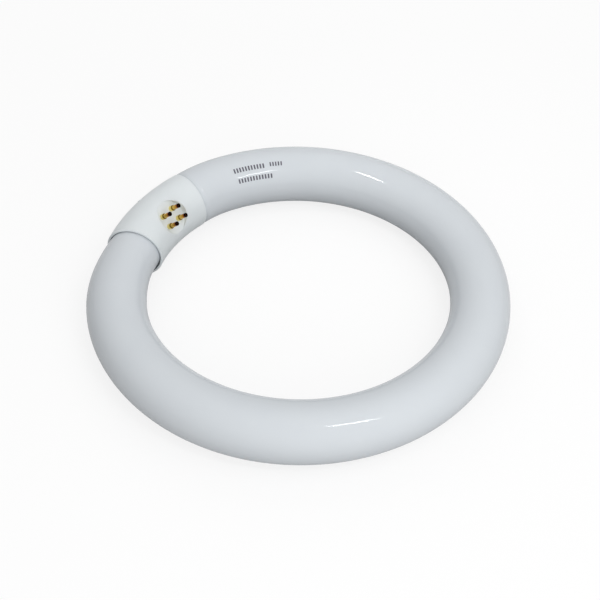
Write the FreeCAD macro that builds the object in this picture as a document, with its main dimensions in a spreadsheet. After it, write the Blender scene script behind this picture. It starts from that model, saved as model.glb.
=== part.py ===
import FreeCAD, Part
import math
import os

import Sketcher

# Circular fluorescent lamp: a ring of glass tube whose two ends meet in a four-pin base.
# Origin in the middle of the ring, on the plane of the tube's centreline, +Z along the ring's
# axis, the base towards +Y. Seen from above, the "left" end of the glass is the one towards -X.

Vector = FreeCAD.Vector

SIZES = [
    # the ring of glass
    ("ring_radius", 92.8, "centreline of the bent tube"),
    ("section_spacing", 1.5, "between the cross-sections that shape a narrowing end"),
    ("even_run", 6.0, "full-width tube shaped together with each narrowing end"),
    ("tube_radius", 15.2, "outside of the glass"),
    ("left_reach", 93.0, "along the ring, base middle to where the left end leaves the circle"),
    ("right_reach", 47.8, "the same for the right end"),
    ("left_closing", 2.7, "how far the left end has come inward at the rim of the base"),
    ("right_closing", 1.1, "the same for the right end"),
    ("left_taper", 40.0, "length over which the left end narrows to its neck"),
    ("right_taper", 3.0, "the same for the right end"),
    ("neck_clearance", 0.6, "glass neck to the bore of the base, at its rim"),
    ("neck_draw", 1.3, "how much thinner the neck is where it is closed"),
    ("neck_round", 4.0, "rounding of the closed end"),
    ("end_gap", 22.4, "between the two closed ends, inside the base"),
    ("stem_radius", 5.8, "mouth of the hollow stem in a closed end"),
    ("stem_depth", 6.0, "depth of that hollow"),
    ("tip_radius", 1.5, "sealed exhaust tip in the middle of the stem"),
    ("tip_length", 7.5, "exhaust tip above the floor of the stem"),
    # the moulded base
    ("base_length", 50.0, "along the centreline"),
    ("base_radius", 15.4, "outside of the sleeve"),
    ("base_wall", 1.1, "wall of the sleeve"),
    ("base_inset", 2.0, "base centreline inward of the ring's circle"),
    ("base_turn", 2.14, "turn of the base on its own middle, in the plane of the ring, degrees"),
    ("rim_round", 0.35, "rounding of the sleeve's two outer rims"),
    ("pin_tilt", 42.5, "pins above the plane of the ring, degrees"),
    ("seam_gap", 0.1, "joint line between the two shells"),
    ("lap_height", 0.8, "inner tongue past the joint line"),
    ("lap_wall", 0.55, "thickness of that tongue"),
    ("lap_clearance", 0.08, "tongue to its rebate"),
    ("rib_offset", 16.2, "cradle rib, from the middle of the base along the centreline"),
    ("rib_width", 1.6, "cradle rib along the centreline"),
    ("rib_clearance", 0.45, "cradle rib to the glass neck"),
    # the face that carries the pins
    ("face_sink", 3.0, "flat round face below the crest of the sleeve"),
    ("face_run_out", 0.1, "face past the place where its plane leaves the sleeve, at its sides"),
    ("plate_thickness", 2.4, "plastic under the face"),
    ("plate_clearance", 0.2, "plate's round edge, in from the bore"),
    # the keys that line the two shells up, one on each side
    ("key_width", 1.6, "key along the tube"),
    ("key_height", 1.2, "key below the joint line"),
    ("key_root", 0.8, "key above the joint line, in the wall that it grows out of"),
    ("key_proud", 0.2, "key out of the sleeve's round"),
    ("key_clearance", 0.1, "key to its notch"),
    # the snap hooks
    ("hook_width", 6.0, "snap hook along the tube"),
    ("hook_wall", 1.1, "thickness of the hook's arm"),
    ("hook_root", 3.5, "arm above the joint line, where it grows out of the wall"),
    ("hook_reach", 3.8, "arm below the joint line"),
    ("nose_height", 1.3, "hook's nose, along the arm"),
    ("nose_depth", 1.25, "hook's nose, out of the arm"),
    ("nose_land", 0.4, "flat crest of the nose, along the arm"),
    ("hook_clearance", 0.15, "hook to the other shell"),
    # the four contact pins
    ("pin_pitch_along", 7.92, "between pins, along the tube"),
    ("pin_pitch_across", 6.35, "between pins, across the tube"),
    ("pin_radius", 1.175, "shank of a pin"),
    ("pin_length", 7.5, "from the face to the pin's tip"),
    ("pin_bore", 0.7, "bore of the hollow pin, radius"),
    ("pin_chamfer", 0.25, "tip edge"),
    ("shoulder_radius", 1.55, "shoulder of a pin, on the face"),
    ("shoulder_height", 2.4, "shoulder above the face"),
    ("shoulder_round", 0.28, "rounding of the shoulder"),
    ("pin_seat_clearance", 0.05, "pin to its hole, radius"),
    ("pin_flange_radius", 1.9, "riveted flange under the plate"),
    ("pin_flange_height", 0.5, "that flange"),
    ("pin_tail", 1.8, "tail under the plate, flange included"),
    # lead wires and their sleeves
    ("wire_radius", 0.3, "lead wire"),
    ("wire_bend", 2.2, "bend of the wire, at its centreline"),
    ("wire_height", 2.4, "wire over the tube's centreline where it leaves the glass"),
    ("wire_end", 2.0, "wire's end below the pin's tip"),
    ("wire_start_gap", 0.7, "wire's start off the floor of the stem"),
    ("sleeve_wall", 0.3, "insulating sleeve"),
    ("sleeve_clearance", 0.1, "sleeve to its wire"),
    ("sleeve_stop", 0.9, "sleeve's ends, off the glass and off the pin's tail"),
]

SAME_LENGTH = 1e-4  # mm, for finding an edge by its size and place
LEAST_CUT = 1e-3  # mm3, less than the smallest thing that any cut takes away

doc = FreeCAD.newDocument("CircularLamp")
sheet = doc.addObject("Spreadsheet::Sheet", "Sizes")
for row, (name, value, meaning) in enumerate(SIZES, start=1):
    sheet.set(f"A{row}", str(value))
    sheet.setAlias(f"A{row}", name)
    sheet.set(f"B{row}", meaning)
doc.recompute()


def size(name):
    return float(sheet.get(name))


# Expressions that several pieces share
HALF_ANGLE = "(Sizes.base_length / 2 / Sizes.ring_radius * 180 / pi)"
BORE = "(Sizes.base_radius - Sizes.base_wall)"
LAP_RADIUS = f"({BORE} + Sizes.lap_wall)"
NECK_RADIUS = f"({BORE} - Sizes.neck_clearance)"
FACE_TILT = "(Sizes.pin_tilt - 90)"
FACE_HEIGHT = "(Sizes.base_radius - Sizes.face_sink)"
FACE_RADIUS = f"(sqrt(Sizes.base_radius ^ 2 - {FACE_HEIGHT} ^ 2) + Sizes.face_run_out)"
PLATE_UNDER = f"({FACE_HEIGHT} - Sizes.plate_thickness)"
PLATE_RADIUS = f"(sqrt({BORE} ^ 2 - {PLATE_UNDER} ^ 2) - Sizes.plate_clearance)"
COS_TILT = "cos(Sizes.pin_tilt * 1deg)"
SIN_TILT = "sin(Sizes.pin_tilt * 1deg)"


def vector(x, y, z):
    return f"create(<<vector>>; {x}; {y}; {z})"


def rotation(axis, angle):
    return f"create(<<rotation>>; {vector(*axis)}; {angle})"


def placement(position, turn):
    return f"create(<<placement>>; {position}; {turn})"


# The base's own frame: origin at the centre of the base's arc, +X outward through the middle of
# the base, +Y along the tube, +Z up. Every piece in the base is drawn in it and placed by it.
BASE_PLACE = placement(
    vector(
        "Sizes.ring_radius * sin(Sizes.base_turn * 1deg)",
        "Sizes.ring_radius * (1 - cos(Sizes.base_turn * 1deg)) - Sizes.base_inset",
        0,
    ),
    rotation((0, 0, 1), "90 + Sizes.base_turn"),
)


def above_axis(height, across="0", along="0"):
    # A point so far from the tube's centreline along the pins, and so far across them.
    return vector(
        f"Sizes.ring_radius - ({height}) * {COS_TILT} + ({across}) * {SIN_TILT}",
        along,
        f"({height}) * {SIN_TILT} + ({across}) * {COS_TILT}",
    )


# Small helpers for bodies, sketches and features

def origin_item(body, role):
    for item in body.Origin.OriginFeatures:
        if item.Role == role:
            return item
    raise RuntimeError(role)


def new_body(label, place):
    body = doc.addObject("PartDesign::Body", label)
    body.Label = label
    body.setExpression("Placement", place)
    return body


def new_sketch(body, name, plane, offset=None):
    sketch = body.newObject("Sketcher::SketchObject", name)
    sketch.AttachmentSupport = [(origin_item(body, plane), "")]
    sketch.MapMode = "FlatFace"
    if offset:
        sketch.setExpression("AttachmentOffset", offset)
    return sketch


def number(expression):
    # The value of an expression over the sheet, to draw geometry near its final place.
    result = sheet.evalExpression(str(expression).replace("Sizes.", ""))
    return float(getattr(result, "Value", result))


def bound(sketch, kind, *items, to):
    # One dimension of a sketch, bound to the sheet.
    index = sketch.addConstraint(Sketcher.Constraint(kind, *items, number(to)))
    sketch.setExpression(f"Constraints[{index}]", str(to))


def pinned(sketch, item, end, x, y):
    # Holds a point at x, y from the sketch's origin; where one is zero, on the axis itself.
    for kind, text, axis in (("DistanceX", x, -2), ("DistanceY", y, -1)):
        if text == 0:
            sketch.addConstraint(Sketcher.Constraint("PointOnObject", item, end, axis))
        else:
            bound(sketch, kind, -1, 1, item, end, to=text)


def joined(sketch, first, first_end, second, second_end):
    sketch.addConstraint(Sketcher.Constraint("Coincident", first, first_end, second, second_end))


def draw_line(sketch, start, end):
    points = [Vector(number(x), number(y), 0) for x, y in (start, end)]
    return sketch.addGeometry(Part.LineSegment(*points), False)


def draw_outline(sketch, corners):
    # A closed polygon, each corner bound to the sheet.
    lines = []
    for start, end in zip(corners, corners[1:] + corners[:1]):
        lines.append(draw_line(sketch, start, end))
    for line, following in zip(lines, lines[1:] + lines[:1]):
        joined(sketch, line, 2, following, 1)
    for line, (x, y) in zip(lines, corners):
        pinned(sketch, line, 1, x, y)


def draw_circle(sketch, x, y, radius):
    centre = Vector(number(x), number(y), 0)
    item = sketch.addGeometry(Part.Circle(centre, Vector(0, 0, 1), number(radius)), False)
    pinned(sketch, item, 3, x, y)
    bound(sketch, "Radius", item, to=radius)


def draw_sector(sketch, inner, outer, start, end):
    # Part of a ring about the sketch's origin, between two angles.
    limits = [math.radians(number(angle)) for angle in (start, end)]
    arcs = []
    for radius in (inner, outer):
        whole = Part.Circle(Vector(0, 0, 0), Vector(0, 0, 1), number(radius))
        arc = sketch.addGeometry(Part.ArcOfCircle(whole, *limits), False)
        joined(sketch, arc, 3, -1, 1)
        bound(sketch, "Radius", arc, to=radius)
        arcs.append(arc)
    for arc_end, angle in ((1, start), (2, end)):
        ray = [Vector(number(r) * math.cos(math.radians(number(angle))),
                      number(r) * math.sin(math.radians(number(angle))), 0) for r in (inner, outer)]
        line = sketch.addGeometry(Part.LineSegment(*ray), False)
        joined(sketch, line, 1, arcs[0], arc_end)
        joined(sketch, line, 2, arcs[1], arc_end)
        sketch.addConstraint(Sketcher.Constraint("PointOnObject", -1, 1, line))
        bound(sketch, "Angle", line, to=f"({angle}) * 1deg")


def revolved(body, name, sketch, angle="360"):
    feature = body.newObject("PartDesign::Revolution", name)
    feature.Profile = sketch
    feature.ReferenceAxis = (origin_item(body, "Z_Axis"), [""])
    if angle != "360":
        feature.Midplane = True
    feature.setExpression("Angle", angle)
    return feature


def padded(body, name, sketch, length=None, symmetric=False):
    feature = body.newObject("PartDesign::Pad", name)
    feature.Profile = sketch
    if length is None:
        feature.Type = "UpToFirst"
    else:
        feature.setExpression("Length", length)
        feature.Midplane = symmetric
    return feature


def pocketed(body, name, sketch, length, symmetric=False, outward=False):
    # Cuts away, and stops if nothing was cut.
    before = body.Tip.Shape.Volume
    feature = body.newObject("PartDesign::Pocket", name)
    feature.Profile = sketch
    feature.setExpression("Length", length)
    feature.Midplane = symmetric
    feature.Reversed = outward
    doc.recompute()
    if feature.Shape.Volume > before - LEAST_CUT:
        raise RuntimeError(name)
    return feature


def edges_where(feature, test):
    return [f"Edge{k}" for k, edge in enumerate(feature.Shape.Edges, start=1) if test(edge)]


def rounded(body, name, feature, edges, radius):
    fillet = body.newObject("PartDesign::Fillet", name)
    fillet.Base = (feature, edges)
    fillet.setExpression("Radius", radius)
    return fillet


# Glass tube: one sealed bulb, bent round the ring, with a narrowed neck at each end

def ahead(point, heading, curvature, distance):
    # Where an arc that starts at the point gets to, and which way it then points.
    turned = heading + curvature * distance
    step = Vector(math.sin(turned) - math.sin(heading), math.cos(heading) - math.cos(turned), 0)
    return point + step / curvature, turned


def unit_vector(angle):
    return Vector(math.cos(angle), math.sin(angle), 0)


def eased_curve(start, leaving, end, arriving, share):
    # A point on a smooth curve between two points with a direction at each, and its heading.
    point = (start * (2 * share ** 3 - 3 * share ** 2 + 1) + leaving * (share ** 3 - 2 * share ** 2 + share)
             + end * (3 * share ** 2 - 2 * share ** 3) + arriving * (share ** 3 - share ** 2))
    along = (start * (6 * share ** 2 - 6 * share) + leaving * (3 * share ** 2 - 4 * share + 1)
             + end * (6 * share - 6 * share ** 2) + arriving * (3 * share ** 2 - 2 * share))
    return point, math.atan2(along.y, along.x)


def glass_section(point, heading, radius):
    # A circle across the tube. Its start stays on top, so that sections line up in a loft.
    section = Part.Wire(Part.makeCircle(radius))
    turn = FreeCAD.Rotation(Vector(0, 0, 1), math.degrees(heading) + 90)
    section.Placement = FreeCAD.Placement(point, turn * FreeCAD.Rotation(Vector(1, 0, 0), 90))
    return section


def bent_tube(point, heading, curvature, distance, radius):
    # Full tube along one arc.
    centre = point + unit_vector(heading + math.pi / 2) / curvature
    disc = Part.Face(glass_section(point, heading, radius))
    return disc.revolve(centre, Vector(0, 0, 1), math.degrees(curvature * distance))


def base_frame():
    turn = math.radians(size("base_turn"))
    x = size("ring_radius") * math.sin(turn)
    y = size("ring_radius") * (1 - math.cos(turn)) - size("base_inset")
    return FreeCAD.Placement(Vector(x, y, 0), FreeCAD.Rotation(Vector(0, 0, 1), 90 + size("base_turn")))


def glass_end(side, reach, closing, taper):
    # One end of the tube, from where it leaves the ring's circle. side is 1 for the left end.
    ring = size("ring_radius")
    angle = math.pi / 2 + side * reach / ring
    start = unit_vector(angle) * ring
    heading = angle - side * math.pi / 2
    bend_length = reach - size("base_length") / 2
    curvature = -side * (1 / ring + 2 * closing / bend_length ** 2)
    even = bend_length - taper - size("even_run")
    full = bent_tube(start, heading, curvature, even, size("tube_radius"))

    # inside the base the neck comes in line with the base's own centreline
    rim, rim_heading = ahead(start, heading, curvature, bend_length)
    inside = side * size("end_gap") / 2 / ring
    target = base_frame().multVec(unit_vector(inside) * ring)
    inward = unit_vector(rim_heading)
    out = base_frame().Rotation.multVec(unit_vector(inside - side * math.pi / 2))
    neck_length = (target - rim).Length
    neck_radius = number(NECK_RADIUS)

    sections = []
    steps = math.ceil(size("even_run") / size("section_spacing"))
    for k in range(steps):
        point, way = ahead(start, heading, curvature, even + size("even_run") * k / steps)
        sections.append(glass_section(point, way, size("tube_radius")))
    steps = math.ceil(taper / size("section_spacing"))
    for k in range(steps):
        share = 1 - k / steps
        eased = share * share * (3 - 2 * share)
        radius = neck_radius + (size("tube_radius") - neck_radius) * eased
        point, way = ahead(start, heading, curvature, bend_length - taper * share)
        sections.append(glass_section(point, way, radius))
    steps = math.ceil(neck_length / size("section_spacing"))
    for k in range(steps + 1):
        share = k / steps
        radius = neck_radius - size("neck_draw") * share ** 2
        point, way = eased_curve(rim, inward * neck_length, target, out * neck_length, share)
        sections.append(glass_section(point, way, radius))
    neck = Part.makeLoft(sections, True, False)

    end_edge = [edge for edge in neck.Edges
                if edge.isClosed() and (edge.CenterOfMass - target).Length < size("neck_round") / 2]
    neck = neck.makeFillet(size("neck_round"), end_edge)
    floor = target - out * size("stem_depth")
    hollow = Part.makeCylinder(size("stem_radius"), size("stem_depth") * 2, floor, out)
    tip_shank = size("tip_length") - size("tip_radius")
    tip = Part.makeCylinder(size("tip_radius"), tip_shank, floor, out)
    tip = tip.fuse(Part.makeSphere(size("tip_radius"), floor + out * tip_shank))
    return full.fuse(neck.cut(hollow)).fuse(tip)


def make_glass():
    ring = size("ring_radius")
    left = math.pi / 2 + size("left_reach") / ring
    right = math.pi / 2 - size("right_reach") / ring
    start = unit_vector(left) * ring
    length = (2 * math.pi - (left - right)) * ring
    body = bent_tube(start, left + math.pi / 2, 1 / ring, length, size("tube_radius"))
    for side, name in ((1, "left"), (-1, "right")):
        end = glass_end(side, size(f"{name}_reach"), size(f"{name}_closing"), size(f"{name}_taper"))
        body = body.fuse(end)
    glass = doc.addObject("Part::Feature", "glass_tube")
    glass.Label = "glass_tube"
    glass.Shape = body.removeSplitter()
    return glass


# Moulded base: two half sleeves that snap together round the two necks

def section_frame(turn="0"):
    # The cross-section of the sleeve, its y towards the pins, turned along the base by an angle.
    lean = placement(vector("Sizes.ring_radius", 0, 0), rotation((0, 0, 1), "90 - Sizes.pin_tilt"))
    return placement(vector(0, 0, 0), rotation((0, 1, 0), turn)) + " * " + lean


def face_frame(height):
    # A plane square to the pins, so far above the tube's centreline.
    return placement(above_axis(height), rotation((0, 1, 0), FACE_TILT))


SEAM_ANGLE = "(Sizes.seam_gap / 2 / Sizes.base_radius * 180 / pi)"
LAP_ANGLE = f"(Sizes.lap_height / {BORE} * 180 / pi)"
REBATE_ANGLE = f"({LAP_ANGLE} + Sizes.lap_clearance / {BORE} * 180 / pi)"
RIB_TURN = "(Sizes.rib_offset / Sizes.ring_radius * 180 / pi)"
RIB_SHARE = "((Sizes.base_length / 2 - Sizes.rib_offset) / (Sizes.base_length / 2 - Sizes.end_gap / 2))"
NECK_AT_RIB = f"({NECK_RADIUS} - Sizes.neck_draw * {RIB_SHARE} ^ 2)"
ARM_OUTER = f"(sqrt({BORE} * {BORE} - Sizes.hook_reach * Sizes.hook_reach) - Sizes.hook_clearance)"
ARM_INNER = f"({ARM_OUTER} - Sizes.hook_wall)"
ARM_ROOT = f"({BORE} + Sizes.lap_wall / 2)"
NOSE_TOP = "(Sizes.nose_height - Sizes.hook_reach)"


def sleeve_sector(body, name, inner, outer, start, end, turn="0", angle=f"{HALF_ANGLE} * 2"):
    sketch = new_sketch(body, f"{name}Outline", "XZ_Plane", section_frame(turn))
    draw_sector(sketch, inner, outer, start, end)
    return revolved(body, name, sketch, angle)


def round_rims(body, skin):
    # The outer edge of both ends of a half sleeve.
    doc.recompute()

    def outer_rim(edge):
        return (isinstance(edge.Curve, Part.Circle)
                and abs(edge.Curve.Radius - size("base_radius")) < SAME_LENGTH
                and abs(edge.CenterOfMass.y) > size("base_length") / 4)

    return rounded(body, f"{skin.Name}Rims", skin, edges_where(skin, outer_rim), "Sizes.rim_round")


def add_ribs(body, start, end):
    for name, turn in (("Left", RIB_TURN), ("Right", f"-{RIB_TURN}")):
        sleeve_sector(
            body, f"{body.Label}{name}Rib", f"{NECK_AT_RIB} + Sizes.rib_clearance", LAP_RADIUS,
            start, end, turn, "Sizes.rib_width / Sizes.ring_radius * 180 / pi")


def make_pin_shell():
    body = new_body("base_pin_shell", BASE_PLACE)
    skin = sleeve_sector(body, "PinSkin", BORE, "Sizes.base_radius", SEAM_ANGLE, f"180 - {SEAM_ANGLE}")
    round_rims(body, skin)
    sleeve_sector(body, "Tongue", BORE, LAP_RADIUS, f"-{LAP_ANGLE}", f"180 + {LAP_ANGLE}")

    # the sunk round face and the well that carries it
    plate = new_sketch(body, "PlateOutline", "XY_Plane", face_frame(PLATE_UNDER))
    draw_circle(plate, 0, 0, PLATE_RADIUS)
    padded(body, "Plate", plate)
    doc.recompute()
    face = new_sketch(body, "FaceOutline", "XY_Plane", face_frame(FACE_HEIGHT))
    draw_circle(face, 0, 0, FACE_RADIUS)
    pocketed(body, "Face", face, "Sizes.base_radius", outward=True)
    holes = new_sketch(body, "PinHoles", "XY_Plane", face_frame(FACE_HEIGHT))
    for across in ("-Sizes.pin_pitch_across / 2", "Sizes.pin_pitch_across / 2"):
        for along in ("-Sizes.pin_pitch_along / 2", "Sizes.pin_pitch_along / 2"):
            draw_circle(holes, across, along, "Sizes.pin_radius + Sizes.pin_seat_clearance")
    pocketed(body, "PinHoleCut", holes, "Sizes.plate_thickness + Sizes.pin_tail")

    add_ribs(body, SEAM_ANGLE, f"180 - {SEAM_ANGLE}")
    for side, sign in (("Outer", ""), ("Inner", "-")):
        hook = new_sketch(body, f"{side}HookOutline", "XZ_Plane", section_frame())
        draw_outline(hook, [
            (f"{sign}{ARM_INNER}", "Sizes.hook_root"),
            (f"{sign}{ARM_ROOT}", "Sizes.hook_root"),
            (f"{sign}{ARM_ROOT}", "-Sizes.lap_height / 2"),
            (f"{sign}{ARM_OUTER}", "-Sizes.lap_height / 2"),
            (f"{sign}{ARM_OUTER}", NOSE_TOP),
            (f"{sign}({ARM_OUTER} + Sizes.nose_depth)", NOSE_TOP),
            (f"{sign}({ARM_OUTER} + Sizes.nose_depth)", f"{NOSE_TOP} - Sizes.nose_land"),
            (f"{sign}{ARM_OUTER}", "-Sizes.hook_reach"),
            (f"{sign}{ARM_INNER}", "-Sizes.hook_reach"),
        ])
        padded(body, f"{side}Hook", hook, "Sizes.hook_width", symmetric=True)
        key = new_sketch(body, f"{side}KeyOutline", "XZ_Plane", section_frame())
        inner = f"{sign}({LAP_RADIUS} + Sizes.lap_clearance)"
        outer = f"{sign}(Sizes.base_radius + Sizes.key_proud)"
        draw_outline(key, [(inner, "-Sizes.key_height"), (outer, "-Sizes.key_height"),
                           (outer, "Sizes.key_root"), (inner, "Sizes.key_root")])
        padded(body, f"{side}Key", key, "Sizes.key_width", symmetric=True)
    return body


def make_back_shell():
    body = new_body("base_back_shell", BASE_PLACE)
    rebate_radius = f"({LAP_RADIUS} + Sizes.lap_clearance)"
    skin = sleeve_sector(
        body, "BackSkin", rebate_radius, "Sizes.base_radius", f"180 + {SEAM_ANGLE}", f"360 - {SEAM_ANGLE}")
    round_rims(body, skin)
    sleeve_sector(body, "BackLining", BORE, rebate_radius, f"180 + {REBATE_ANGLE}", f"360 - {REBATE_ANGLE}")
    add_ribs(body, f"180 + {REBATE_ANGLE}", f"360 - {REBATE_ANGLE}")
    doc.recompute()
    for side, sign in (("Outer", ""), ("Inner", "-")):
        window = new_sketch(body, f"{side}WindowOutline", "XZ_Plane", section_frame())
        inner = f"{sign}({BORE} - Sizes.base_wall)"
        outer = f"{sign}(Sizes.base_radius + Sizes.base_wall)"
        top = f"{NOSE_TOP} + Sizes.hook_clearance"
        bottom = "-Sizes.hook_reach - Sizes.hook_clearance"
        draw_outline(window, [(inner, bottom), (outer, bottom), (outer, top), (inner, top)])
        pocketed(body, f"{side}Window", window, "Sizes.hook_width + Sizes.hook_clearance * 2", symmetric=True)
        notch = new_sketch(body, f"{side}NotchOutline", "XZ_Plane", section_frame())
        bottom = "-Sizes.key_height - Sizes.key_clearance"
        draw_outline(notch, [(inner, bottom), (outer, bottom), (outer, "Sizes.key_root"), (inner, "Sizes.key_root")])
        pocketed(body, f"{side}Notch", notch, "Sizes.key_width + Sizes.key_clearance * 2", symmetric=True)
    return body


# Contact pins: hollow turned pins, riveted through the plate

def pin_place(across, along):
    local = placement(above_axis(FACE_HEIGHT, across, along), rotation((0, 1, 0), FACE_TILT))
    return f"{BASE_PLACE} * {local}"


def make_pin(label, place):
    body = new_body(label, place)
    outline = new_sketch(body, f"{label}_outline", "XZ_Plane")
    under = "-Sizes.plate_thickness"
    draw_outline(outline, [
        ("Sizes.pin_bore", f"{under} - Sizes.pin_tail"),
        ("Sizes.pin_radius", f"{under} - Sizes.pin_tail"),
        ("Sizes.pin_radius", f"{under} - Sizes.pin_flange_height"),
        ("Sizes.pin_flange_radius", f"{under} - Sizes.pin_flange_height"),
        ("Sizes.pin_flange_radius", under),
        ("Sizes.pin_radius", under),
        ("Sizes.pin_radius", 0),
        ("Sizes.shoulder_radius", 0),
        ("Sizes.shoulder_radius", "Sizes.shoulder_height"),
        ("Sizes.pin_radius", "Sizes.shoulder_height"),
        ("Sizes.pin_radius", "Sizes.pin_length - Sizes.pin_chamfer"),
        ("Sizes.pin_radius - Sizes.pin_chamfer", "Sizes.pin_length"),
        ("Sizes.pin_bore", "Sizes.pin_length"),
    ])
    turned = revolved(body, f"{label}_turned", outline)
    doc.recompute()

    def shoulder_edge(edge):
        return (isinstance(edge.Curve, Part.Circle)
                and abs(edge.Curve.Radius - size("shoulder_radius")) < SAME_LENGTH
                and abs(edge.CenterOfMass.z - size("shoulder_height")) < SAME_LENGTH)

    rounded(body, f"{label}_shoulder", turned, edges_where(turned, shoulder_edge), "Sizes.shoulder_round")
    return body


# Lead wires: each runs from a stem, bends towards the pins and goes up inside its own pin

WIRE_LOW = f"(Sizes.wire_height - {FACE_HEIGHT})"
WIRE_TOP = "(Sizes.pin_length - Sizes.wire_end)"
STEM_FLOOR = "(Sizes.end_gap / 2 + Sizes.stem_depth - Sizes.pin_pitch_along / 2)"
PIN_TAIL_END = "(Sizes.plate_thickness + Sizes.pin_tail)"


def draw_bend(sketch, sign, top, low, far):
    # Down the pin's axis, round the bend and out along the tube to the stem.
    bend = "Sizes.wire_bend"
    drop = draw_line(sketch, (0, top), (0, f"{low} + {bend}"))
    run = draw_line(sketch, (f"{sign}{bend}", low), (f"{sign}{far}", low))
    centre = Vector(number(f"{sign}{bend}"), number(f"{low} + {bend}"), 0)
    whole = Part.Circle(centre, Vector(0, 0, 1), number(bend))
    limits = (math.pi * 1.5, math.pi * 2) if sign else (math.pi, math.pi * 1.5)
    arc = sketch.addGeometry(Part.ArcOfCircle(whole, *limits), False)
    pinned(sketch, drop, 1, 0, top)
    pinned(sketch, drop, 2, 0, f"{low} + {bend}")
    pinned(sketch, run, 1, f"{sign}{bend}", low)
    pinned(sketch, run, 2, f"{sign}{far}", low)
    joined(sketch, arc, 2 if sign else 1, drop, 2)
    joined(sketch, arc, 1 if sign else 2, run, 1)
    bound(sketch, "Radius", arc, to=bend)


def make_bent_round(label, place, sign, top, far, radii):
    # A wire, or a sleeve with a bore, along the bend.
    body = new_body(label, place)
    path = new_sketch(body, f"{label}_path", "YZ_Plane")
    draw_bend(path, sign, top, WIRE_LOW, far)
    section = new_sketch(body, f"{label}_section", "XY_Plane", placement(vector(0, 0, top), rotation((0, 0, 1), 0)))
    for radius in radii:
        draw_circle(section, 0, 0, radius)
    doc.recompute()
    pipe = body.newObject("PartDesign::AdditivePipe", f"{label}_pipe")
    pipe.Profile = section
    pipe.Spine = path
    return body


pieces = [make_glass(), make_pin_shell(), make_back_shell()]
wire_radii = ["Sizes.wire_radius"]
sleeve_bore = "Sizes.wire_radius + Sizes.sleeve_clearance"
sleeve_radii = [sleeve_bore, f"{sleeve_bore} + Sizes.sleeve_wall"]
count = 0
for across in ("Sizes.pin_pitch_across / 2", "-Sizes.pin_pitch_across / 2"):
    for sign in ("", "-"):
        count += 1
        place = pin_place(across, f"{sign}Sizes.pin_pitch_along / 2")
        pieces.append(make_pin(f"contact_pin_{count}", place))
        pieces.append(make_bent_round(
            f"lead_wire_{count}", place, sign, WIRE_TOP, f"({STEM_FLOOR} - Sizes.wire_start_gap)", wire_radii))
        pieces.append(make_bent_round(
            f"wire_sleeve_{count}", place, sign, f"(-{PIN_TAIL_END} - Sizes.sleeve_stop)",
            f"({STEM_FLOOR} - Sizes.sleeve_stop)", sleeve_radii))
doc.recompute()

# Nothing is written unless every object is sound and every piece is one valid solid
for item in doc.Objects:
    if "Invalid" in item.State or "Error" in item.State:
        raise RuntimeError(f"{item.Name}: {item.State}")
os.makedirs("parts", exist_ok=True)
for piece in pieces:
    shape = piece.Shape
    if shape.isNull() or not shape.isValid() or len(shape.Solids) != 1:
        raise RuntimeError(f"{piece.Label} is not one valid solid")
    shape.exportStep(f"parts/{piece.Label}.step")
    box = shape.BoundBox
    print(f"{piece.Label}: {shape.Volume:.1f} mm3, {box.XLength:.1f} x {box.YLength:.1f} x {box.ZLength:.1f} mm")
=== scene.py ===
"""Looks of the circular fluorescent lamp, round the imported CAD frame. Metres, in the CAD's frame.

The ring lies flat, its axis along Z, the moulded base towards +Y and the pins leaning inward and up.
"""

import math

import bpy
from mathutils import Matrix, Vector


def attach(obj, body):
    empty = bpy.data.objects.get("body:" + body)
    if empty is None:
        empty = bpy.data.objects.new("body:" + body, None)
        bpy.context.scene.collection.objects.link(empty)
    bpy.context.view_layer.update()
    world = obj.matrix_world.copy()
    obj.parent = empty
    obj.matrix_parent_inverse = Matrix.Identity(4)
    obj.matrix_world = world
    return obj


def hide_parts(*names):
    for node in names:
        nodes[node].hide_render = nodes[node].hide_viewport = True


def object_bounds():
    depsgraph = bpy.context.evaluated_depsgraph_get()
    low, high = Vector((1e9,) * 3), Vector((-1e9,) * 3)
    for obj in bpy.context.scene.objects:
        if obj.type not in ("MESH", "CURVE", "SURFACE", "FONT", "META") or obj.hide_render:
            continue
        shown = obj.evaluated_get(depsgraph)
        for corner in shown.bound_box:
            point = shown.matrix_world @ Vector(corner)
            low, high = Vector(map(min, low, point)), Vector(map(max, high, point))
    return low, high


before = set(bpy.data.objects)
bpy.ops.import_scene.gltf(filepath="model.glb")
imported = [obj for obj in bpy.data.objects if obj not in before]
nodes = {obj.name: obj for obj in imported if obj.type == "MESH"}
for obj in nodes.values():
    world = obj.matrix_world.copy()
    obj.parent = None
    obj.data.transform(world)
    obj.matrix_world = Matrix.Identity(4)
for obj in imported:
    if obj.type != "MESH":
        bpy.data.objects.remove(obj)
cad_box = [list(corner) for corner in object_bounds()]
MM = 0.001
UPWARD = Vector((0, 0, 1))
QUARTER_TURN = math.pi / 2

# sizes shared with the CAD source, in millimetres and degrees
RING_RADIUS = 92.8
TUBE_RADIUS = 15.2
LEFT_REACH = 93.0
RIGHT_REACH = 47.8
LEFT_CLOSING = 2.7
RIGHT_CLOSING = 1.1
LEFT_TAPER = 40.0
RIGHT_TAPER = 3.0
NECK_RADIUS = 13.7
NECK_DRAW = 1.3
NECK_ROUND = 4.0
END_GAP = 22.4
STEM_RADIUS = 5.8
STEM_DEPTH = 6.0
TIP_RADIUS = 1.5
TIP_LENGTH = 7.5
BASE_LENGTH = 50.0
BASE_INSET = 2.0
BASE_TURN = 2.14
PIN_TILT = 42.5
FACE_HEIGHT = 12.4
PIN_LENGTH = 7.5
PIN_COUNT = 4


# Materials: one function for a colour, one for a node, and small ones for what repeats

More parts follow.
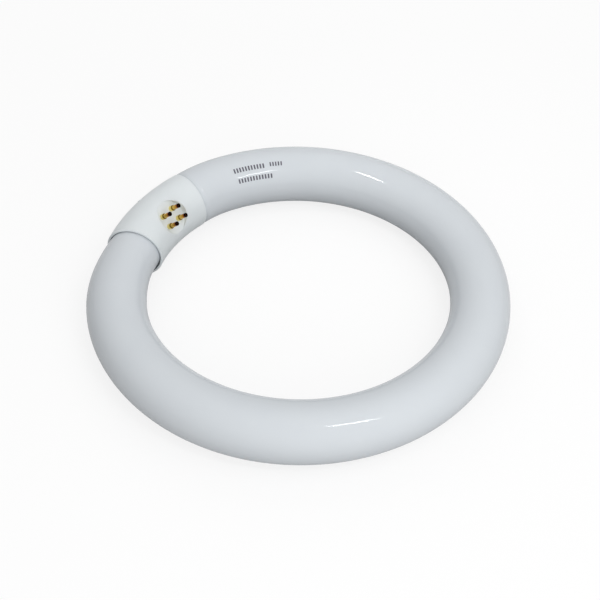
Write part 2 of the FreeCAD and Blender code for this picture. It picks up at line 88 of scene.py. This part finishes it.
def ink_colour(sheet_value):
    """An sRGB hex colour, such as #D5DADE, as the linear colour that a shader takes."""
    channels = [int(sheet_value[k:k + 2], 16) / 255 for k in (1, 3, 5)]
    return [c / 12.92 if c <= 0.04045 else ((c + 0.055) / 1.055) ** 2.4 for c in channels] + [1.0]


def node(tree, kind, sockets=None, **settings):
    """Adds a shader node: settings are its own, sockets take a value or another node's output."""
    made = tree.nodes.new("ShaderNode" + kind)
    for name, value in settings.items():
        setattr(made, name, value)
    for name, value in (sockets or {}).items():
        if isinstance(value, bpy.types.NodeSocket):
            tree.links.new(value, made.inputs[name])
        else:
            made.inputs[name].default_value = value
    return made


def surface_place(tree):
    """The place of each point of the surface, in the part's frame."""
    return node(tree, "TexCoord").outputs["Object"]


def noise(tree, place, size, detail, **sockets):
    """Soft spots about so many millimetres across, as a share from 0 to 1."""
    values = {"Vector": place, "Scale": 1 / (size * MM), "Detail": detail, **sockets}
    return node(tree, "TexNoise", values).outputs["Fac"]


def mixed(tree, share, first, second, **settings):
    """The first colour turning into the second as the share goes from 0 to 1."""
    first, second = (ink_colour(c) if isinstance(c, str) else c for c in (first, second))
    values = {"Factor": share, "A": first, "B": second}
    return node(tree, "Mix", values, data_type="RGBA", **settings).outputs["Result"]


def relief(tree, height, depth, strength):
    """The surface with bumps, so many millimetres deep for each unit of the height."""
    values = {"Height": height, "Distance": depth * MM, "Strength": strength}
    return node(tree, "Bump", values).outputs["Normal"]


def larger(tree, first, second):
    """The larger of two shares."""
    return node(tree, "Math", {0: first, 1: second}, operation="MAXIMUM").outputs["Value"]


def new_material(name):
    material = bpy.data.materials.new(name)
    material.use_nodes = True
    material.node_tree.nodes.clear()
    return material, material.node_tree


def finish_material(material, shader):
    node(material.node_tree, "OutputMaterial", {"Surface": shader})
    return material


def coated_glass():
    """Soda-lime glass tube with white phosphor powder baked on its inside: an even milk white seen
    through clear gloss. The powder lies in faint clouds, where the slurry drained before baking."""
    material, tree = new_material("phosphor_coated_glass")
    place = surface_place(tree)
    clouds = noise(tree, place, size=14, detail=3.0, Roughness=0.45)
    powder = mixed(tree, clouds, "#D6DBDF", "#D2D7DC")
    # drawn glass has long shallow waves, a few hundredths of a millimetre deep
    waves = noise(tree, place, size=25, detail=1.0)
    shader = node(tree, "BsdfPrincipled", {
        "Base Color": powder, "Roughness": 0.7, "Specular IOR Level": 0.0,
        "Coat Weight": 0.6, "Coat Roughness": 0.08, "Coat IOR": 1.52,
        "Coat Normal": relief(tree, waves, depth=0.03, strength=1.0)})
    return finish_material(material, shader.outputs["BSDF"])


def moulded_plastic():
    """White PBT, injection moulded: satin, a little greener and paler than the glass, with the
    fine grain of a spark-eroded mould."""
    material, tree = new_material("moulded_pbt")
    place = surface_place(tree)
    flow = noise(tree, place, size=9, detail=2.0)
    # real grain is 0.1 mm; drawn 0.4 mm so that it shows
    grain = noise(tree, place, size=0.4, detail=2.0)
    shader = node(tree, "BsdfPrincipled", {
        "Base Color": mixed(tree, flow, "#E1E6E8", "#DBE1E3"), "Roughness": 0.38, "IOR": 1.55,
        "Normal": relief(tree, grain, depth=0.012, strength=0.6)})
    return finish_material(material, shader.outputs["BSDF"])


def level(angle):
    """The level direction at an angle from +X."""
    return Vector((math.cos(angle), math.sin(angle), 0))


def base_hub():
    """Centre of the arc that the base follows, and the heading from it to the base's middle."""
    turn = math.radians(BASE_TURN)
    hub = Vector((RING_RADIUS * math.sin(turn), RING_RADIUS * (1 - math.cos(turn)) - BASE_INSET, 0))
    return hub, QUARTER_TURN + turn


def pin_axis():
    """The base's middle and the direction of its pins, in the part's frame."""
    hub, turn = base_hub()
    lean = math.radians(PIN_TILT)
    outward = level(turn)
    up = -outward * math.cos(lean) + UPWARD * math.sin(lean)
    return hub + outward * RING_RADIUS, up


# Colours up a pin, each with its share of the height: a painted highlight on the shoulder, painted shade in
# the groove over it, the shank, and darker to near black at the tip
PIN_TINTS_AND_PAINTED_LIGHT = [(0.0, "#FFF6BE"), (0.24, "#F6E896"), (0.31, "#7A641E"), (0.4, "#F0D478"),
             (0.72, "#D9A648"), (0.85, "#9A5A2E"), (0.92, "#3A1612"), (0.97, "#160A0A")]


def turned_brass():
    """Brass contact pins turned on an automatic lathe: yellow metal with fine rings round it. A colour ramp
    up the pin paints a highlight on the shoulder and shade in the groove over it, and turns browner up the
    shank and dark at the tip."""
    material, tree = new_material("turned_brass")
    middle, up = pin_axis()
    place = surface_place(tree)
    height = node(tree, "VectorMath", {0: place, 1: up}, operation="DOT_PRODUCT").outputs["Value"]
    face = (middle.dot(up) + FACE_HEIGHT) * MM
    tip = face + PIN_LENGTH * MM
    share = node(tree, "MapRange", {"Value": height, "From Min": face, "From Max": tip})
    # the ramp paints a highlight on the shoulder and shade in the groove, and darkens towards the tip
    pin_ramp_with_painted_light = node(tree, "ValToRGB", {"Fac": share.outputs["Result"]})
    stops = pin_ramp_with_painted_light.color_ramp.elements
    while len(stops) < len(PIN_TINTS_AND_PAINTED_LIGHT):
        stops.new(0.5)
    for stop, (position, value) in zip(stops, PIN_TINTS_AND_PAINTED_LIGHT):
        stop.position = position
        stop.color = ink_colour(value)
    spots = noise(tree, place, size=0.8, detail=3.0)
    # tarnish spots darken the ramp, whose painted highlight and shade stay in it
    tarnish_and_painted_light = mixed(tree, spots, pin_ramp_with_painted_light.outputs["Color"], "#E6D6A0", blend_type="MULTIPLY")
    # tool marks are 0.05 mm apart; drawn 0.25 mm apart so that they show
    mark_gap = 0.25
    rings = node(tree, "Math", {0: height, 1: 2 * math.pi / (mark_gap * MM)}, operation="MULTIPLY")
    groove = node(tree, "Math", {0: rings.outputs["Value"]}, operation="SINE").outputs["Value"]
    rough = node(tree, "MapRange", {"Value": spots, "To Min": 0.16, "To Max": 0.36})
    shader = node(tree, "BsdfPrincipled", {
        "Base Color": tarnish_and_painted_light, "Metallic": 1.0, "Roughness": rough.outputs["Result"],
        "Normal": relief(tree, groove, depth=0.006, strength=0.5)})
    return finish_material(material, shader.outputs["BSDF"])


def nickel_plated_wire():
    """Drawn lead wire, nickel-plated: pale warm grey metal, a little duller where the plate is thin."""
    material, tree = new_material("nickel_plated_wire")
    patches = noise(tree, surface_place(tree), size=1.5, detail=4.0)
    thin = node(tree, "MapRange", {"Value": patches, "From Min": 0.55, "From Max": 0.75})
    metal = mixed(tree, thin.outputs["Result"], "#C4C2BC", "#A8A49A")
    shader = node(tree, "BsdfPrincipled", {"Base Color": metal, "Metallic": 1.0, "Roughness": 0.34})
    return finish_material(material, shader.outputs["BSDF"])


def glass_fibre_sleeving():
    """Braided glass-fibre sleeving: matt cream cloth, its plaits crossing at a slant."""
    material, tree = new_material("glass_fibre_sleeving")
    place = surface_place(tree)
    # strands about 0.6 mm apart, because a wave texture draws 3.2 of them in each of its units
    wave_unit = 1.89
    plaits = []
    for slant in (0.8, -0.8):
        turned = node(tree, "Mapping", {"Vector": place, "Rotation": (0.6, 0.4, slant)})
        values = {"Vector": turned.outputs["Vector"], "Scale": 1 / (wave_unit * MM)}
        plaits.append(node(tree, "TexWave", values).outputs["Fac"])
    braid = larger(tree, *plaits)
    shader = node(tree, "BsdfPrincipled", {
        "Base Color": mixed(tree, braid, "#B9B29C", "#E2DDCB"), "Roughness": 0.85,
        "Normal": relief(tree, braid, depth=0.05, strength=0.8)})
    return finish_material(material, shader.outputs["BSDF"])


def printing_ink():
    """Baked-on stamping ink: dull grey violet, thin and broken where the pad didn't press."""
    material, tree = new_material("stamping_ink")
    worn = noise(tree, surface_place(tree), size=0.6, detail=2.0)
    tone = mixed(tree, worn, "#38343F", "#72707C")
    shader = node(tree, "BsdfPrincipled", {"Base Color": tone, "Roughness": 0.6})
    return finish_material(material, shader.outputs["BSDF"])


def seen_directly(tree, path):
    """1 where the camera, gloss or clear glass looks at the surface, 0 where it only gives light."""
    mirrored = larger(tree, path["Is Glossy Ray"], path["Is Transmission Ray"])
    return larger(tree, path["Is Camera Ray"], mirrored)


PAPER_WHITE = 0.8  # how much of the paper's look, straight from the camera, is plain white


def backdrop_paper():
    """Seamless white paper. The camera sees it nearly as bright as the white behind it, with the
    lamp's shadow kept on it, and gloss shows it as white paper, a little dimmer. What it throws back
    on the lamp is kept low, as from a sheet of glass over a dark table."""
    material, tree = new_material("seamless_paper")
    path = node(tree, "LightPath").outputs
    tone = mixed(tree, seen_directly(tree, path), "#9C9C9C", "#FFFFFF")
    paper = node(tree, "BsdfDiffuse", {"Color": tone})
    # a strength of 1 is white, and the rest of the share is the paper with its shadow
    white = node(tree, "Emission", {"Color": ink_colour("#FFFFFF"), "Strength": 1.0})
    share = node(tree, "Math", {0: path["Is Camera Ray"], 1: PAPER_WHITE}, operation="MULTIPLY")
    seen = node(tree, "MixShader", {
        0: share.outputs["Value"], 1: paper.outputs["BSDF"], 2: white.outputs["Emission"]})
    return finish_material(material, seen.outputs["Shader"])


def dress(name, material):
    """Gives a CAD node its material."""
    mesh = nodes[name].data
    mesh.materials.clear()
    mesh.materials.append(material)


glass = coated_glass()
plastic = moulded_plastic()
brass = turned_brass()
nickel = nickel_plated_wire()
sleeving = glass_fibre_sleeving()
dress("base_pin_shell", plastic)
dress("base_back_shell", plastic)
for number in range(1, PIN_COUNT + 1):
    dress(f"contact_pin_{number}", brass)
    dress(f"lead_wire_{number}", nickel)
    dress(f"wire_sleeve_{number}", sleeving)


def mesh_piece(name, points, faces, material):
    """A piece made of these points and faces."""
    mesh = bpy.data.meshes.new(name)
    mesh.from_pydata([tuple(p) for p in points], [], faces)
    mesh.update()
    mesh.materials.append(material)
    piece = bpy.data.objects.new(name, mesh)
    bpy.context.scene.collection.objects.link(piece)
    return piece


# The glass tube, finer than its CAD facets, so that the gloss runs evenly along it

ROUND_STEPS = 96  # points round the tube
RING_STEP = 3.2  # mm between its sections round the ring
END_STEP = 1.5  # mm between them where it narrows
SKIN_INSET = 0.05  # mm under the CAD surface
TIP_TURNS = (0, 0.4, 0.8, 1.2, 1.5)  # angles of the sections that round the sealed tip, radians


def along_arc(point, heading, curvature, distance):
    """Where an arc that starts at the point gets to, and which way it then points."""
    turned = heading + curvature * distance
    step = Vector((math.sin(turned) - math.sin(heading), math.cos(heading) - math.cos(turned), 0))
    return point + step / curvature, turned


def eased_curve(start, leaving, end, arriving, share):
    """A point on a smooth curve between two points with a direction at each, and its heading."""
    point = (start * (2 * share ** 3 - 3 * share ** 2 + 1) + leaving * (share ** 3 - 2 * share ** 2 + share)
             + end * (3 * share ** 2 - 2 * share ** 3) + arriving * (share ** 3 - share ** 2))
    along = (start * (6 * share ** 2 - 6 * share) + leaving * (3 * share ** 2 - 4 * share + 1)
             + end * (6 * share - 6 * share ** 2) + arriving * (3 * share ** 2 - 2 * share))
    return point, math.atan2(along.y, along.x)


def closed_end(side, reach, closing, taper):
    """Sections of one end, each a centre, a heading and a radius: from the ring's circle along the
    narrowing tube to the closed end inside the base, with its hollow stem and its sealed tip."""
    angle = QUARTER_TURN + side * reach / RING_RADIUS
    start, heading = level(angle) * RING_RADIUS, angle - side * QUARTER_TURN
    bend = reach - BASE_LENGTH / 2
    curvature = -side * (1 / RING_RADIUS + 2 * closing / bend ** 2)
    sections = []
    steps = round(bend / END_STEP)
    for k in range(steps):
        distance = bend * k / steps
        share = min(1, (bend - distance) / taper)
        eased = share * share * (3 - 2 * share)
        point, way = along_arc(start, heading, curvature, distance)
        sections.append((point, way, NECK_RADIUS + (TUBE_RADIUS - NECK_RADIUS) * eased))
    rim, rim_heading = along_arc(start, heading, curvature, bend)
    hub, outward = base_hub()
    inside = outward + side * END_GAP / 2 / RING_RADIUS
    end_heading = inside - side * QUARTER_TURN
    target, out = hub + level(inside) * RING_RADIUS, level(end_heading)
    neck = (target - rim).length
    steps = round(neck / END_STEP) * 2
    for k in range(steps + 1):
        # sections crowd towards the closed end, where it rounds off
        share = math.sin(k / steps * QUARTER_TURN)
        radius = NECK_RADIUS - NECK_DRAW * share ** 2
        rounding = max(0, NECK_ROUND - neck * (1 - share))
        radius -= NECK_ROUND - math.sqrt(NECK_ROUND ** 2 - rounding ** 2)
        point, way = eased_curve(rim, level(rim_heading) * neck, target, out * neck, share)
        sections.append((point, way, radius))
    shank = TIP_LENGTH - TIP_RADIUS - STEM_DEPTH
    cap = [(0, STEM_RADIUS), (-STEM_DEPTH, STEM_RADIUS), (-STEM_DEPTH, TIP_RADIUS)]
    cap += [(shank + TIP_RADIUS * math.sin(turn), TIP_RADIUS * math.cos(turn)) for turn in TIP_TURNS]
    return sections + [(target + out * height, end_heading, radius) for height, radius in cap]


def blown_tube(name, material):
    """The whole bulb as one closed skin, from the left end's tip round the ring to the right one's."""
    left = QUARTER_TURN + LEFT_REACH / RING_RADIUS
    right = QUARTER_TURN + 2 * math.pi - RIGHT_REACH / RING_RADIUS
    first = closed_end(1, LEFT_REACH, LEFT_CLOSING, LEFT_TAPER)
    sections = [(point, heading + math.pi, radius) for point, heading, radius in reversed(first)]
    steps = round((right - left) * RING_RADIUS / RING_STEP)
    for k in range(1, steps):
        angle = left + (right - left) * k / steps
        sections.append((level(angle) * RING_RADIUS, angle + QUARTER_TURN, TUBE_RADIUS))
    sections += closed_end(-1, RIGHT_REACH, RIGHT_CLOSING, RIGHT_TAPER)
    points, faces = [], []
    for centre, heading, radius in sections:
        aside = level(heading - QUARTER_TURN)
        reach = radius - SKIN_INSET
        for k in range(ROUND_STEPS):
            turn = 2 * math.pi * k / ROUND_STEPS
            points.append((centre + aside * reach * math.cos(turn) + UPWARD * reach * math.sin(turn)) * MM)
    for ring in range(len(sections) - 1):
        for k in range(ROUND_STEPS):
            here, after = ring * ROUND_STEPS + k, ring * ROUND_STEPS + (k + 1) % ROUND_STEPS
            faces.append((here, here + ROUND_STEPS, after + ROUND_STEPS, after))
    faces.append(tuple(range(ROUND_STEPS)))
    faces.append(tuple(reversed(range(len(points) - ROUND_STEPS, len(points)))))
    tube = mesh_piece(name, points, faces, material)
    tube.data.shade_smooth()
    return tube


bulb = blown_tube("blown_glass_tube", glass)
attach(bulb, "root")
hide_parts("glass_tube")


# A stamp of ink on the glass: two rows of plain strokes

INK_DEPTH = 0.06  # mm of ink over the glass, and as much below its face, so that it sits on it
STROKE_STEPS = 4  # flats along a stroke, so that it follows the round of the tube
STROKE_SHARE = 0.5  # width of a stroke, of the distance from one to the next
# groups of strokes, the first two of them in one row: ring angles of a group's start and end,
# its number of strokes, and tube angles of their top and bottom, in degrees
STROKE_GROUPS = [(57.7, 45.6, 11, 113.5, 123.5), (44.0, 39.0, 5, 112.5, 121.5),
                 (57.0, 43.0, 12, 137.0, 146.0)]


def on_tube(ring_angle, tube_angle, lift):
    """A point on the glass. The ring angle runs from +X, the tube angle from the ring's outside
    over its top."""
    ring, tube = math.radians(ring_angle), math.radians(tube_angle)
    reach = TUBE_RADIUS + lift
    radius = RING_RADIUS + reach * math.cos(tube)
    return Vector((radius * math.cos(ring), radius * math.sin(ring), reach * math.sin(tube))) * MM


def printed_strokes(name, groups, material):
    """Thin closed films of ink, one for each stroke, wrapped round the tube."""
    points, faces = [], []
    for start, end, count, top, bottom in groups:
        pitch = (end - start) / count
        for k in range(count):
            left, right = start + pitch * k, start + pitch * (k + STROKE_SHARE)
            section = [(left, -INK_DEPTH), (left, INK_DEPTH), (right, INK_DEPTH), (right, -INK_DEPTH)]
            corners = len(section)
            first = len(points)
            for step in range(STROKE_STEPS + 1):
                tube = top + (bottom - top) * step / STROKE_STEPS
                points += [on_tube(ring, tube, lift) for ring, lift in section]
            for step in range(STROKE_STEPS):
                low = first + corners * step
                for side in range(corners):
                    after = (side + 1) % corners
                    faces.append((low + side, low + after, low + corners + after, low + corners + side))
            last = first + corners * STROKE_STEPS
            faces.append(tuple(reversed(range(first, first + corners))))
            faces.append(tuple(range(last, last + corners)))
    return mesh_piece(name, points, faces, material)


mark = printed_strokes("printed_mark", STROKE_GROUPS, printing_ink())
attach(mark, "root")


# Floor, lights and camera

FLOOR_REACH = 4.0  # metres from the middle to each side

floor_height = cad_box[0][2]
corners = [(-1, -1), (1, -1), (1, 1), (-1, 1)]
floor = mesh_piece(
    "paper_floor", [(x * FLOOR_REACH, y * FLOOR_REACH, floor_height) for x, y in corners],
    [(0, 1, 2, 3)], backdrop_paper())

# the camera, as fitted to the photograph's outline of the ring
VIEW_AZIMUTH = math.radians(-57.61)
VIEW_ELEVATION = math.radians(44.864)
VIEW_ROLL = math.radians(1.315)
VIEW_DISTANCE = 0.676488
LENS = 79.354
SENSOR_WIDTH = 36.0
SHIFT_X = 0.0029
SHIFT_Y = -0.0160


def from_view(right, away, up):
    """A direction given as the camera's operator sees it, level with the floor, in the part's frame."""
    level_right, level_away = level(VIEW_AZIMUTH), level(VIEW_AZIMUTH + QUARTER_TURN)
    return level_right * right + level_away * away + UPWARD * up


def studio_lamp(name, place, width, depth, brightness, outline="RECTANGLE", aim=Vector(), cone=None):
    """A flat lamp that faces the aim, its width level across the camera's view. Its brightness is
    that of its own surface, where 1 is the white of a page, so its power follows from its size.
    A grid may keep its light inside a cone, in degrees. Gloss shows only the slim oval lamps, and
    the plain pale room in place of the wide ones."""
    light = bpy.data.lights.new(name, "AREA")
    light.shape = outline
    light.size = width
    light.size_y = depth
    light.energy = brightness * math.pi * width * depth
    if outline == "ELLIPSE":
        light.energy *= math.pi / 4
    if cone:
        half = math.radians(cone / 2)
        light.spread = 2 * half
        light.energy *= 1 - half / math.tan(half)
    lamp = bpy.data.objects.new(name, light)
    facing = (place - aim).normalized()
    across = from_view(1, 0, 0)
    across = (across - facing * across.dot(facing)).normalized()
    turn = Matrix((across, facing.cross(across), facing)).transposed().to_4x4()
    lamp.matrix_world = Matrix.Translation(place) @ turn
    lamp.visible_glossy = outline == "ELLIPSE"
    bpy.context.scene.collection.objects.link(lamp)


studio_lamp("key_soft_box", from_view(0.40, -0.36, 0.97), width=1.2, depth=1.2, brightness=0.70)
studio_lamp("front_fill", from_view(0.25, -1.03, 0.30), width=0.8, depth=0.8, brightness=2.4)
studio_lamp("back_fill", from_view(-0.10, 0.82, 0.76), width=0.8, depth=0.8, brightness=1.0)
studio_lamp("key_strip", from_view(0.350, -0.450, 0.890), width=0.36, depth=0.04, brightness=34,
            outline="ELLIPSE")
studio_lamp("left_strip", from_view(-0.134, 0.039, 0.438), width=0.07, depth=0.014, brightness=75,
            outline="ELLIPSE", aim=from_view(0.038, 0.076, 0.013), cone=36)

ROOM_LIGHT = 0.47  # how brightly the room lights the lamp, where 1 is the white that is seen

scene = bpy.context.scene
scene.view_settings.view_transform = "Standard"
world = bpy.data.worlds.new("studio")
world.use_nodes = True
room = world.node_tree
room.nodes.clear()
direct = seen_directly(room, node(room, "LightPath").outputs)
strength = node(room, "MapRange", {"Value": direct, "To Min": ROOM_LIGHT, "To Max": 1.0})
sky = node(room, "Background", {
    "Color": ink_colour("#FFFFFF"), "Strength": strength.outputs["Result"]})
node(room, "OutputWorld", {"Surface": sky.outputs["Background"]})
scene.world = world

camera_data = bpy.data.cameras.new("camera")
camera_data.lens = LENS
camera_data.sensor_width = SENSOR_WIDTH
camera_data.shift_x = SHIFT_X
camera_data.shift_y = SHIFT_Y
camera = bpy.data.objects.new("camera", camera_data)
scene.collection.objects.link(camera)
back = from_view(0, -math.cos(VIEW_ELEVATION), math.sin(VIEW_ELEVATION))
across = from_view(1, 0, 0)
rise = back.cross(across)
right = across * math.cos(VIEW_ROLL) + rise * math.sin(VIEW_ROLL)
rise = back.cross(right)
turn = Matrix((right, rise, back)).transposed().to_4x4()
camera.matrix_world = Matrix.Translation(back * VIEW_DISTANCE) @ turn
scene.camera = camera
